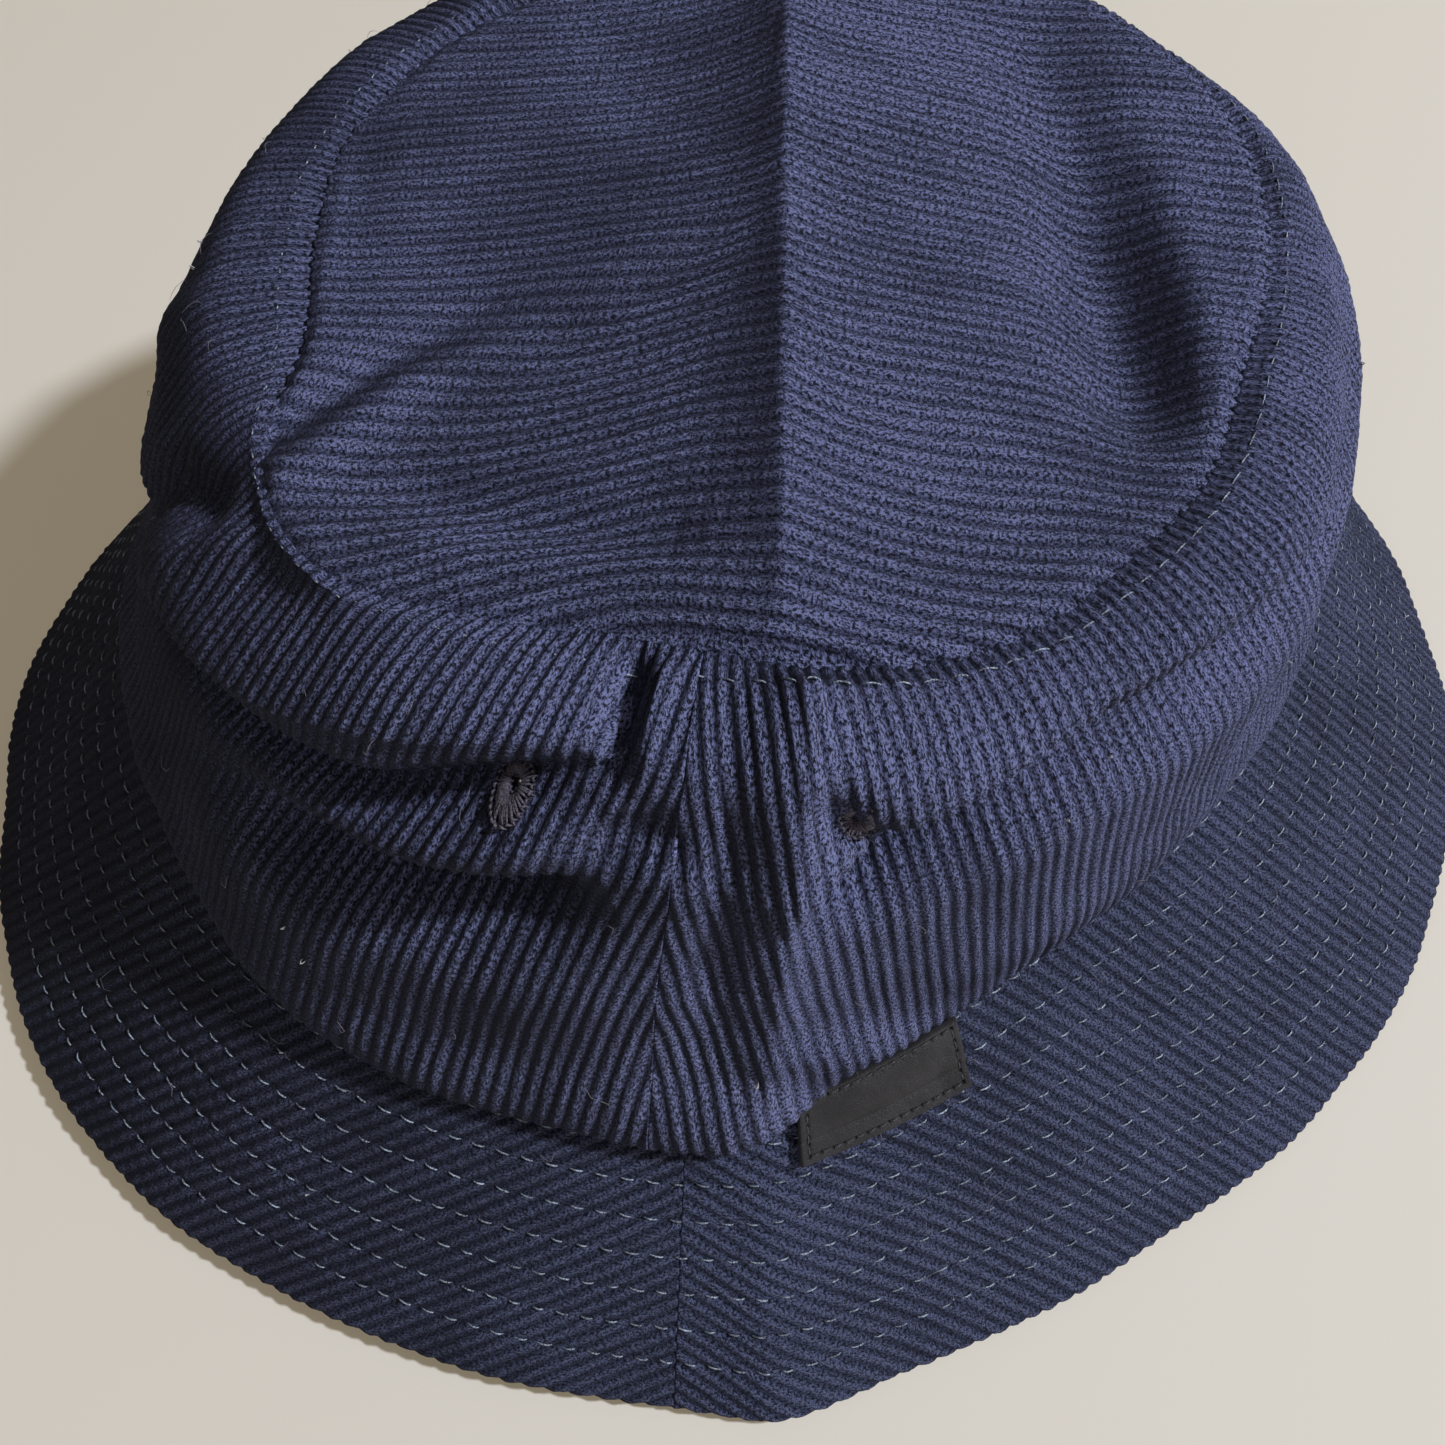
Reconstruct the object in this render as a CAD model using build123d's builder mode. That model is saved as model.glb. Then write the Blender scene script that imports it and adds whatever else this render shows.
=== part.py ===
"""Soft bucket hat as it stands on a table: lined corduroy crown, stitched three-layer brim, sweatband.

Frame: origin on the table under the middle of the brim, +Z up.  The hat's two side seams lie at -Y and +Y
and its front and rear halves at +X and -X.  All lengths are in millimetres, all angles in degrees.
"""
from build123d import *
from math import atan2, cos, degrees, hypot, radians, sin
import os

os.makedirs("parts", exist_ok=True)

# ---------------------------------------------------------------- driving dimensions

# The unworn hat is a soft oval that has relaxed askew: its long axis is turned away from +X.
oval_turn = 33.0
tip_shift = 4.5

# Brim: long and short radius at the table and where it meets the crown.
rim_long_radius = 139.6
rim_short_radius = 128.0
base_long_radius = 103.3
base_short_radius = 90.9
base_height = 47.0

# Crown, outside of the cloth: (long radius, short radius, height, share of the tip shift).
crown_stations = [
    (base_long_radius, base_short_radius, 40.0, 0.0),
    (base_long_radius, base_short_radius, base_height, 0.0),
    (98.6, 89.8, 60.0, 0.1),
    (93.6, 88.5, 76.0, 0.3),
    (89.8, 86.2, 91.0, 0.6),
    (84.6, 82.4, 103.0, 0.8),
    (78.6, 77.6, 110.5, 0.95),
    (72.5, 72.0, 114.0, 1.0),
    (55.0, 54.5, 117.0, 1.0),
    (30.0, 30.0, 119.3, 1.0),
    (8.0, 8.0, 120.0, 1.0),
]
tip_seam_height = 114.0

# Cloth and other layers.
corduroy_thickness = 1.4
lining_thickness = 0.5
sweatband_thickness = 1.0
sweatband_width = 32.0
brim_face_thickness = 1.3
interlining_thickness = 0.8
layer_gap = 0.15

# Sewing.
thread_thickness = 0.5
thread_clearance = 0.05
brim_row_count = 8
brim_row_first = 4.0
brim_row_pitch = 6.8
tip_row_height = 111.6
sweatband_row_rise = 3.0

# Vent eyelets, embroidered round small holes.
eyelet_radius = 4.0
eyelet_hole_radius = 1.2
eyelet_thickness = 0.8
eyelet_clearance = 0.5
eyelet_half_spacing = 21.0
eyelet_height = 96.0
vent_hole_radius = 1.5

# Leather label on the brim, beside the seam at -Y.
label_width = 27.0
label_height = 11.5
label_thickness = 1.1
label_azimuth = -73.0
label_drop = 6.4
label_stitch_inset = 1.2

# Care label, sewn flat inside the rear of the sweatband.
care_label_width = 18.0
care_label_height = 24.0
care_label_thickness = 0.3

# ---------------------------------------------------------------- layer depths, measured inwards

panel_inside = corduroy_thickness
lining_outside = panel_inside + layer_gap
lining_inside = lining_outside + lining_thickness
sweatband_outside = lining_inside + layer_gap
sweatband_inside = sweatband_outside + sweatband_thickness
care_label_outside = sweatband_inside + layer_gap
care_label_inside = care_label_outside + care_label_thickness

brim_top_inside = brim_face_thickness
interlining_outside = brim_top_inside + layer_gap
interlining_inside = interlining_outside + interlining_thickness
brim_under_outside = interlining_inside + layer_gap
brim_under_inside = brim_under_outside + brim_face_thickness

label_lift = thread_thickness + 2 * thread_clearance

brim_top_level = base_height - layer_gap
brim_run = (rim_long_radius - base_long_radius + rim_short_radius - base_short_radius) / 2
brim_slope = degrees(atan2(brim_top_level, brim_run))
far_out = 2 * rim_long_radius


# ---------------------------------------------------------------- the crown's and the brim's ovals


def inset_stations(depth):
    """Crown stations moved inwards by depth, square to the cloth."""
    last = len(crown_stations) - 1
    moved = []
    for index, (long_radius, short_radius, level, shift_share) in enumerate(crown_stations):
        before = crown_stations[max(index - 1, 0)]
        after = crown_stations[min(index + 1, last)]
        run = (after[0] - before[0] + after[1] - before[1]) / 2
        rise = after[2] - before[2]
        inwards = depth * rise / hypot(run, rise)
        downwards = -depth * run / hypot(run, rise)
        moved.append((long_radius - inwards, short_radius - inwards, level - downwards, shift_share * tip_shift))
    return moved


def crown_oval(depth, level):
    """Long radius, short radius and shift of the crown's oval at a level."""
    stations = inset_stations(depth)
    for lower, upper in zip(stations, stations[1:]):
        if lower[2] <= level <= upper[2]:
            share = (level - lower[2]) / (upper[2] - lower[2])
            return [low + share * (high - low) for low, high in zip(lower, upper)]
    raise ValueError(f"no crown at level {level}")


def crown_ovals(depth, low, high):
    """Ovals of the crown from one level up to another, or up to its top if high is None."""
    stations = inset_stations(depth)
    top = stations[-1][2] if high is None else high
    between = [station for station in stations if low + 0.1 < station[2] < top - 0.1]
    ends = [stations[-1]] if high is None else [crown_oval(depth, top)]
    return [crown_oval(depth, low)] + between + ends


def brim_oval(depth, level):
    """Long radius, short radius and level of the brim's oval, depth inside its upper surface."""
    share = level / brim_top_level
    inwards = depth / sin(radians(brim_slope))
    long_radius = rim_long_radius + share * (base_long_radius - rim_long_radius) - inwards
    short_radius = rim_short_radius + share * (base_short_radius - rim_short_radius) - inwards
    return long_radius, short_radius, level, 0.0


def brim_ovals(depth):
    """The brim's two ovals: at the table and under the crown."""
    return [brim_oval(depth, 0.0), brim_oval(depth, brim_top_level)]


def solid_through(ovals):
    """Closed solid through a stack of turned ovals."""
    with BuildPart() as stack:
        for long_radius, short_radius, level, shift in ovals:
            with BuildSketch(Plane(origin=(shift, 0, level))):
                Ellipse(long_radius, short_radius, rotation=oval_turn)
        loft(ruled=True)
    return stack.part


def shell_between(outside, inside):
    """Shell of cloth between two stacks of ovals."""
    with BuildPart() as shell:
        add(solid_through(outside))
        add(solid_through(inside), mode=Mode.SUBTRACT)
    return shell.part


def oval_reach(oval, azimuth):
    """Point on an oval in the direction azimuth from its centre."""
    long_radius, short_radius, level, shift = oval
    local = radians(azimuth - oval_turn)
    reach = 1 / hypot(cos(local) / long_radius, sin(local) / short_radius)
    return Vector(shift + reach * cos(radians(azimuth)), reach * sin(radians(azimuth)), level)


halves = {"front": Keep.TOP, "rear": Keep.BOTTOM}
half_direction = {"front": 1, "rear": -1}
side_direction = {"right": -1, "left": 1}


def seam_plane(half):
    """Cutting plane of a half, just clear of the side seams."""
    return Plane.YZ.offset(half_direction[half] * layer_gap / 2)


# ---------------------------------------------------------------- crown tip and its lining

tip_foot = tip_seam_height + layer_gap
tip_form = shell_between(crown_ovals(0, tip_foot, None), crown_ovals(panel_inside, tip_foot, None))

with BuildPart() as crown_tip:
    add(tip_form)
crown_tip.part.label = "crown_tip"
export_step(crown_tip.part, "parts/crown_tip.step")

lining_seam_height = tip_seam_height - lining_outside
lining_foot = lining_seam_height + layer_gap
lining_tip_form = shell_between(
    crown_ovals(lining_outside, lining_foot, None), crown_ovals(lining_inside, lining_foot, None)
)

with BuildPart() as lining_tip:
    add(lining_tip_form)
lining_tip.part.label = "lining_tip"
export_step(lining_tip.part, "parts/lining_tip.step")

# ---------------------------------------------------------------- crown side panels and their lining

with BuildPart() as vent_rods:
    with BuildSketch(Plane.XZ):
        with Locations((eyelet_half_spacing, eyelet_height), (-eyelet_half_spacing, eyelet_height)):
            Circle(vent_hole_radius)
    extrude(amount=far_out, both=True)

panel_form = shell_between(
    crown_ovals(0, base_height, tip_seam_height), crown_ovals(panel_inside, base_height, tip_seam_height)
)
lining_form = shell_between(
    crown_ovals(lining_outside, base_height, lining_seam_height),
    crown_ovals(lining_inside, base_height, lining_seam_height),
)

for layer_name, form in {"side_panel": panel_form, "lining_side": lining_form}.items():
    for half, kept_side in halves.items():
        with BuildPart() as crown_half:
            add(form)
            add(vent_rods.part, mode=Mode.SUBTRACT)
            split(bisect_by=seam_plane(half), keep=kept_side)
        crown_half.part.label = f"{layer_name}_{half}"
        export_step(crown_half.part, f"parts/{layer_name}_{half}.step")

# ---------------------------------------------------------------- sweatband

sweatband_top = base_height + sweatband_width
sweatband_form = shell_between(
    crown_ovals(sweatband_outside, base_height, sweatband_top),
    crown_ovals(sweatband_inside, base_height, sweatband_top),
)

with BuildPart() as sweatband:
    add(sweatband_form)
sweatband.part.label = "sweatband"
export_step(sweatband.part, "parts/sweatband.step")

# ---------------------------------------------------------------- brim: top, interlining and underside halves

brim_layers = {
    "brim_top": (0, brim_top_inside),
    "brim_interlining": (interlining_outside, interlining_inside),
    "brim_under": (brim_under_outside, brim_under_inside),
}

for layer_name, (outside, inside) in brim_layers.items():
    layer_form = shell_between(brim_ovals(outside), brim_ovals(inside))
    for half, kept_side in halves.items():
        with BuildPart() as brim_half:
            add(layer_form)
            split(bisect_by=seam_plane(half), keep=kept_side)
        brim_half.part.label = f"{layer_name}_{half}"
        export_step(brim_half.part, f"parts/{layer_name}_{half}.step")

# ---------------------------------------------------------------- vent eyelets

panel_oval = crown_oval(0, eyelet_height)
panel_oval_below = crown_oval(0, eyelet_height - eyelet_radius)
wall_lean = atan2(panel_oval_below[0] - panel_oval[0], eyelet_radius)

for side, towards_side in side_direction.items():
    for half, towards_half in half_direction.items():
        azimuth = degrees(atan2(towards_side * base_short_radius, towards_half * eyelet_half_spacing))
        wall_point = oval_reach(panel_oval, azimuth)
        tangent = oval_reach(panel_oval, azimuth + 1) - oval_reach(panel_oval, azimuth - 1)
        level_normal = tangent.cross(Vector(0, 0, 1)).normalized()
        outwards = level_normal * cos(wall_lean) + Vector(0, 0, sin(wall_lean))
        eyelet_plane = Plane(origin=wall_point + outwards * eyelet_clearance, x_dir=tangent, z_dir=outwards)
        with BuildPart() as eyelet:
            with BuildSketch(eyelet_plane):
                Circle(eyelet_radius)
                Circle(eyelet_hole_radius, mode=Mode.SUBTRACT)
            extrude(amount=eyelet_thickness)
            fillet(eyelet.faces().sort_by(SortBy.AREA)[-1].outer_wire().edges(), radius=eyelet_thickness / 3)
        eyelet.part.label = f"vent_eyelet_{side}_{half}"
        export_step(eyelet.part, f"parts/vent_eyelet_{side}_{half}.step")

# ---------------------------------------------------------------- leather label and its stitching

label_middle = oval_reach(brim_oval(0, brim_top_level - label_drop * sin(radians(brim_slope))), label_azimuth)
label_along = oval_reach(brim_oval(0, label_middle.Z), label_azimuth + 1)
label_along = (label_along - label_middle).normalized()
label_level_normal = label_along.cross(Vector(0, 0, 1))
label_outwards = label_level_normal * sin(radians(brim_slope)) + Vector(0, 0, cos(radians(brim_slope)))
label_plane = Plane(origin=label_middle, x_dir=label_along, z_dir=label_outwards)

label_slab = shell_between(brim_ovals(-label_lift - label_thickness), brim_ovals(-label_lift))

with BuildPart() as leather_label:
    with BuildSketch(label_plane):
        Rectangle(label_width, label_height)
    extrude(amount=label_width / 2, both=True)
    add(label_slab, mode=Mode.INTERSECT)
leather_label.part.label = "leather_label"
export_step(leather_label.part, "parts/leather_label.step")

label_thread_bed = label_lift + label_thickness + thread_clearance
label_thread_slab = shell_between(
    brim_ovals(-label_thread_bed - thread_thickness), brim_ovals(-label_thread_bed)
)

with BuildPart() as label_stitching:
    with BuildSketch(label_plane):
        Rectangle(label_width - 2 * label_stitch_inset, label_height - 2 * label_stitch_inset)
        Rectangle(
            label_width - 2 * label_stitch_inset - 2 * thread_thickness,
            label_height - 2 * label_stitch_inset - 2 * thread_thickness,
            mode=Mode.SUBTRACT,
        )
    extrude(amount=label_width / 2, both=True)
    add(label_thread_slab, mode=Mode.INTERSECT)
label_stitching.part.label = "label_stitching"
export_step(label_stitching.part, "parts/label_stitching.step")

# ---------------------------------------------------------------- care label

with BuildPart() as care_label:
    with BuildSketch(Plane(origin=(0, 0, base_height + sweatband_width / 2), x_dir=(0, 1, 0), z_dir=(-1, 0, 0))):
        Rectangle(care_label_width, care_label_height)
    extrude(amount=far_out)
    care_label_slab = shell_between(
        crown_ovals(care_label_outside, base_height, sweatband_top),
        crown_ovals(care_label_inside, base_height, sweatband_top),
    )
    add(care_label_slab, mode=Mode.INTERSECT)
care_label.part.label = "care_label"
export_step(care_label.part, "parts/care_label.step")

# ---------------------------------------------------------------- rows of stitching

row_levels = [
    brim_top_level - (brim_row_first + row * brim_row_pitch) * sin(radians(brim_slope))
    for row in range(brim_row_count)
]
brim_row_depths = {
    "brim_rows_top": -thread_clearance - thread_thickness,
    "brim_rows_under": brim_under_inside + thread_clearance,
}

for node_name, depth in brim_row_depths.items():
    with BuildPart() as brim_rows:
        for level in row_levels:
            ends = (level - thread_thickness / 2, level + thread_thickness / 2)
            outside = [brim_oval(depth, end) for end in ends]
            inside = [brim_oval(depth + thread_thickness, end) for end in ends]
            add(shell_between(outside, inside))
    brim_rows.part.label = node_name
    export_step(brim_rows.part, f"parts/{node_name}.step")

crown_rows = {
    "tip_topstitching": (-thread_clearance - thread_thickness, tip_row_height),
    "sweatband_stitching": (sweatband_inside + thread_clearance, base_height + sweatband_row_rise),
}

for node_name, (depth, level) in crown_rows.items():
    with BuildPart() as crown_row:
        ends = (level - thread_thickness / 2, level + thread_thickness / 2)
        outside = [crown_oval(depth, end) for end in ends]
        inside = [crown_oval(depth + thread_thickness, end) for end in ends]
        add(shell_between(outside, inside))
    crown_row.part.label = node_name
    export_step(crown_row.part, f"parts/{node_name}.step")
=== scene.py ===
import math

import bpy
import numpy as np
from mathutils import Matrix, Vector


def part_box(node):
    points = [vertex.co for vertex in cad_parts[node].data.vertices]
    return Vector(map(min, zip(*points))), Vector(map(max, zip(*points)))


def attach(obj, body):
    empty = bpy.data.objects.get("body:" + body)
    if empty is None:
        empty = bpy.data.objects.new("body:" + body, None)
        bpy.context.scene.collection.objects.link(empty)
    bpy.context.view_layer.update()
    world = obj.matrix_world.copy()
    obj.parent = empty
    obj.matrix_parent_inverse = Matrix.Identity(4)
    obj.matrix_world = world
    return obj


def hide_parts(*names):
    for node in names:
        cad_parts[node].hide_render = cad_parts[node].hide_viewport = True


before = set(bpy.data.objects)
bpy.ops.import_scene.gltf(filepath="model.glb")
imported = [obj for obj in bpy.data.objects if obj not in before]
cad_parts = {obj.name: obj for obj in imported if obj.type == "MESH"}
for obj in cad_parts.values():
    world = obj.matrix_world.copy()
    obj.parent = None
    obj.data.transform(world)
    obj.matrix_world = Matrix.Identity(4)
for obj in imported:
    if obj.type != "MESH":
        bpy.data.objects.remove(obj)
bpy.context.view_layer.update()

# ---------------------------------------------------------------- measures, in millimetres and degrees

MM = 0.001
TAU = 2 * math.pi

base_height = float(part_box("side_panel_front")[0][2]) / MM
tip_height = float(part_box("crown_tip")[0][2]) / MM
crown_height = float(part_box("crown_tip")[1][2]) / MM
eyelet_level = float(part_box("vent_eyelet_right_front")[0][2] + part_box("vent_eyelet_right_front")[1][2]) / 2 / MM

oval_turn = 33.0
tip_shift = 4.5

wale_pitch = 2.38
band_pitch_share = 0.88
wale_relief = 0.42
cloth_thickness = 0.75

# Side of the painted light and shade: the cloth's colour is painted lighter where it turns towards this, about where
# the key light shines from.
painted_light_side = (0.70, -0.30, 0.65)

brim_thickness = 3.4

# The brim and crown half-panels are cut as sectors: how much of a turn their cut shape keeps.
brim_sector = 0.63
band_sector = 0.14

# Mean radii that turn an azimuth into a length of cloth, and lengths of cloth from seam to seam.
base_radius = 97
wall_radius = 88
lining_radius = 92
brim_middle_radius = 110
crease_radius = 115
label_radius = 99
tip_radius = 72.5
panel_slant = 88.0

# Where the half-panels meet: (azimuth on the label's side, azimuth on the far side).
band_seams = (-93.2, 90.0)
brim_seams = (-90.3, 90.0)

# Rim of the standing hat: (azimuth, radius) and (azimuth, lift off the table).
rim_keys = [(-180, 137.5), (-165, 138.0), (-148, 140.0), (-130, 138), (-105, 131.4), (-89, 130.6), (-83, 131.6),
            (-74, 128.0), (-62, 126.3), (-52, 125.8), (-40, 129), (-21, 133.7), (0, 138.5), (20, 139.5), (50, 136),
            (90, 131), (125, 127), (150, 127.5), (168, 133.5)]
rim_lift_keys = [(-180, 0.4), (-150, 1.6), (-122, 2.6), (-98, 1.2), (-84, 0.0), (-60, 0.3), (-30, 0.0), (0, 0.5),
                 (40, 0.0), (80, 1.0), (120, 0.0), (150, 0.8)]

# Tip seam: (azimuth, radius) about the shifted middle of the tip, and (azimuth, height over the mean seam).
seam_keys = [(-180, 62.5), (-162, 64), (-150, 72.5), (-135, 76.8), (-118, 70), (-102, 65.4), (-84, 67.8), (-70, 69.6),
             (-58, 69.0), (-46, 67.0), (-34, 67.0), (-14, 65.5), (8, 70.5), (28, 75), (50, 76), (80, 71), (110, 68),
             (140, 67), (163, 65)]
seam_lift_keys = [(-180, -1.0), (-158, -2.4), (-146, -2.6), (-130, -1.2), (-110, 0.0), (-84, 1.0), (-60, 0.0),
                  (-30, -1.5), (0, -1.5), (40, -1.0), (84, 0.8), (120, -0.8)]

# Seam between crown and brim: (azimuth, radius), and (azimuth, height over the mean seam).
base_keys = [(-180, 99.5), (-164, 101.5), (-145, 101.5), (-125, 99.5), (-105, 97), (-83, 95.3), (-65, 89.2),
             (-54, 86.8), (-45, 86.8), (-22, 91), (0, 95.5), (30, 103), (60, 99.5), (90, 94), (120, 91), (150, 95)]
base_lift_keys = [(-180, 0), (-140, 0), (-118, -0.8), (-100, -3.2), (-84, -3.4), (-68, -0.4), (-45, 1.0), (-20, 0.6),
                  (20, 0), (60, 0.6), (90, -1.2), (120, 0)]

# How far the wall leans out or in beyond its stations: (azimuth, push).
wall_keys = [(-180, -2.2), (-170, -2.8), (-160, -3.2), (-145, -1.5), (-125, 0), (-60, 0), (-30, -1.5), (-15, -2.4),
             (-3, -1.8), (10, -0.4), (22, 2.0), (32, 2.0), (46, -0.8), (60, -1), (90, 0), (130, 2), (143, 2),
             (155, 0.5), (168, -0.8)]

# How far the wall's cloth turns in and drops under its base and how high its base starts, and how far the brim's
# cloth goes in and rises past the same seam.
tuck_inwards, tuck_drop, base_rise = 1.6, 0.9, 1.6
brim_tuck, brim_tuck_rise = 1.3, 0.5

# Height of the brim's upper cloth at the rim, over where the hat stands.
rim_rise = 2.4

# The crown's cloth dips at the tip seam: (depth, width).
seam_dip_depth, seam_dip_width = 1.3, 1.6

# Crown between the seams: (long radius, short radius, height, share of the tip's shift).
band_stations = [
    (98.6, 89.8, 60.0, 0.1),
    (93.6, 88.5, 76.0, 0.3),
    (89.8, 86.2, 91.0, 0.6),
    (84.6, 82.4, 103.0, 0.8),
    (78.6, 77.6, 110.5, 0.95),
]

# Folds of the crown wall.  Each: a line of (azimuth, height, strength), then how far the cloth is pushed out
# and drops there, and how wide the fold is above and below its line.
band_folds = [
    ([(-178, 85, 0.3), (-168, 86, 0.8), (-156, 88, 1), (-144, 93, 1), (-130, 99, 1), (-118, 104.5, 1),
      (-108, 108.5, 1), (-103, 109.5, 0.5), (-100, 110, 0.0)], 2.8, 2.6, 7.0, 2.4),
    ([(-180, 77, 0.2), (-168, 78, 0.6), (-156, 80, 0.8), (-146, 84, 0.8), (-136, 87.5, 0.9), (-128, 91, 0.9),
      (-118, 96, 1), (-112, 100, 1), (-107, 103, 0.8), (-102, 105.5, 0.4)], -6.5, 0.0, 2.2, 5.0),
    ([(-130, 82, 0.2), (-118, 88, 0.8), (-110, 94, 1), (-105, 97, 1), (-100, 98.5, 0.6), (-96, 99, 0.2)],
     2.0, 0.0, 3.5, 3.5),
    ([(-134, 77, 0.2), (-126, 79, 0.7), (-118, 82, 1), (-110, 85.5, 1), (-105, 88.5, 1), (-101, 91, 0.5),
      (-98, 93, 0.1)], -8.5, 0.0, 3.0, 6.5),
    ([(-142, 64, 0.2), (-120, 68, 1), (-104, 72, 0.9), (-95, 75, 0.3)], 3.0, 1.0, 7.0, 11.0),
    ([(-102, 96.5, 0.4), (-98.5, 98.5, 1), (-95, 100.5, 0.8), (-91.5, 102, 0.1)], -3.4, 0.0, 2.8, 3.4),
    ([(-100, 113.5, 1), (-99.3, 110, 1), (-98.6, 106, 0.6), (-98, 102, 0.1)], -3.8, 0.0, 2.8, 2.6),
    ([(-96.6, 112, 0.7), (-97, 108, 1), (-98.6, 103.5, 0.7)], 1.6, 0.0, 2.0, 2.0),
    ([(-89.5, 112, 0.2), (-89, 102, 0.7), (-89, 84, 0.7), (-88.5, 66, 0.3)], -2.0, 0.0, 3.0, 3.0),
    ([(-83, 108, 0.2), (-81.5, 105.5, 0.8), (-79.5, 103, 1), (-76.5, 101.5, 0.7), (-73, 101, 0.1)],
     -4.2, 0.0, 3.6, 3.2),
    ([(-80, 101, 0.0), (-77, 103.5, 0.6), (-70, 107, 1), (-57, 110, 1), (-44, 109.5, 1), (-34, 108, 0.8),
      (-25, 106, 0.5), (-16, 104, 0.1)], 3.2, 2.6, 6.0, 2.4),
    ([(-81, 94, 0.4), (-78, 96.5, 1), (-74, 99.5, 0.9), (-69, 102.5, 0.2)], -3.5, 0.0, 1.4, 3.0),
    ([(-82, 94, 0.3), (-79.5, 96, 1), (-74, 99, 1), (-66, 102, 1), (-57, 104, 0.8), (-44, 103, 0.7), (-34, 101, 0.6),
      (-24, 100, 0.2)], -5.8, 0.0, 2.4, 7.0),
    ([(-87, 66, 0.3), (-80, 61, 0.9), (-74, 55, 0.8), (-69, 50, 0.2)], 1.8, 0.0, 3.6, 3.6),
    ([(-85, 58, 0.3), (-80, 53, 0.9), (-77, 49, 0.6)], -1.6, 0.0, 3.0, 3.0),
    ([(-146, 50, 0.0), (-130, 50, 0.8), (-112, 50, 1), (-96, 50, 1), (-87, 50, 1), (-80, 50, 0.4), (-75, 50, 0.0)],
     5.0, 5.4, 14, 4.0),
    ([(-150, 104, 0.8), (-157, 98, 1), (-162, 88, 0.7)], -3.0, 0.0, 4.0, 4.0),
    ([(-143, 106, 0.6), (-149, 98, 0.9), (-153, 88, 0.5)], 2.0, 0.0, 4.0, 4.0),
    ([(-172, 108, 0.7), (-176, 100, 1), (178, 90, 0.4)], 1.8, 0.0, 5.0, 5.0),
    ([(98, 97, 0.2), (118, 96, 1), (140, 98, 0.9), (162, 96, 0.2)], 3.4, 3.0, 8.0, 3.2),
    ([(102, 90, 0.2), (120, 89, 1), (142, 91, 0.8)], -3.0, 0.0, 3.0, 6.0),
    ([(18, 94, 0.1), (38, 97, 0.9), (58, 99, 1), (80, 98, 0.3)], 2.8, 2.2, 8.0, 3.2),
    ([(34, 90, 0.4), (56, 92, 1), (76, 92, 0.3)], -2.4, 0.0, 3.0, 6.0),
]

# The pressed crease that runs down the wall from the tip, on the label's side and on the far side, its ridges on the
# wall: (line, height, width), and how it goes on over the brim: (azimuth, height).
crease_line = [(-83.4, 113, 1), (-83.4, 105, 1), (-84.0, 92, 0.9), (-83.8, 74, 0.8), (-84.0, 56, 0.6),
               (-84.2, 49, 0.2)]
far_crease_line = [(86.5, 113, 1), (86.8, 98, 0.8), (87, 74, 0.6), (87, 50, 0.2)]
wall_creases = ((crease_line, 1.8, 4.0), (crease_line, 3.4, 17.0), (far_crease_line, 2.0, 5.0))
brim_creases = ((-84.0, 1.6), (87.0, 1.2))

# The crease across the tip: its middle, its lean, its ridges (height, width), and how far the tip sinks beside it.
tip_crease_middle, tip_crease_lean = 7.0, 0.039
tip_ridges = ((1.8, 5.0), (6.5, 27))
tip_sink = 2.6

# Folds of the tip, the same with (x, y, strength).
tip_folds = [
    ([(-47, -50, 0.4), (-28, -55, 1), (-10, -57, 0.7), (2, -58, 0.2)], 1.6, 0.0, 3.4, 3.4),
    ([(-44, -42, 0.4), (-24, -48, 1), (-4, -51, 0.6)], -1.2, 0.0, 3.0, 3.0),
    ([(-57, -34, 1), (-46, -23, 1), (-32, -13, 0.3)], -1.6, 0.0, 3.6, 3.6),
    ([(-53, -40, 0.8), (-40, -27, 0.9), (-26, -19, 0.2)], 1.1, 0.0, 4.0, 4.0),
    ([(-45, 31, 0.3), (-20, 33, 1), (3, 34, 0.6)], -0.7, 0.0, 2.4, 2.4),
    ([(42, 46, 0.3), (48, 20, 0.7), (51, -6, 1), (53, -21, 0.9), (53, -33, 0.2)], -6.5, 0.0, 7.5, 7.5),
    ([(60, 18, 0.4), (63, -8, 0.9), (63, -24, 0.5)], 1.4, 0.0, 4.0, 4.0),
    ([(-50, 52, 0.4), (-55, 20, 0.8), (-52, -6, 0.5)], -1.0, 0.0, 4.0, 4.0),
]

# ---------------------------------------------------------------- small mathematics


def smooth_between(part, span, low, high, low_slope, high_slope):
    """Cubic curve from low to high with the given slopes at its ends."""
    square, cube = part ** 2, part ** 3
    return ((2 * cube - 3 * square + 1) * low + (cube - 2 * square + part) * span * low_slope
            + (3 * square - 2 * cube) * high + (cube - square) * span * high_slope)


def smooth_periodic(keys, azimuth):
    """Smooth closed curve through (azimuth in degrees, value) keys."""
    places = np.array([key[0] for key in keys], float)
    values = np.array([key[1] for key in keys], float)
    places = np.concatenate([places - 360, places, places + 360])
    values = np.tile(values, 3)
    slopes = np.gradient(values, places)
    wrapped = (np.asarray(azimuth, float) + 180) % 360 - 180
    index = np.clip(np.searchsorted(places, wrapped) - 1, 0, len(places) - 2)
    span = places[index + 1] - places[index]
    part = (wrapped - places[index]) / span
    return smooth_between(part, span, values[index], values[index + 1], slopes[index], slopes[index + 1])


def oval_radius(long_radius, short_radius, azimuth):
    """Radius of a turned oval in the direction azimuth, in degrees."""
    local = np.radians(np.asarray(azimuth) - oval_turn)
    return 1 / np.hypot(np.cos(local) / long_radius, np.sin(local) / short_radius)


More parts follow.
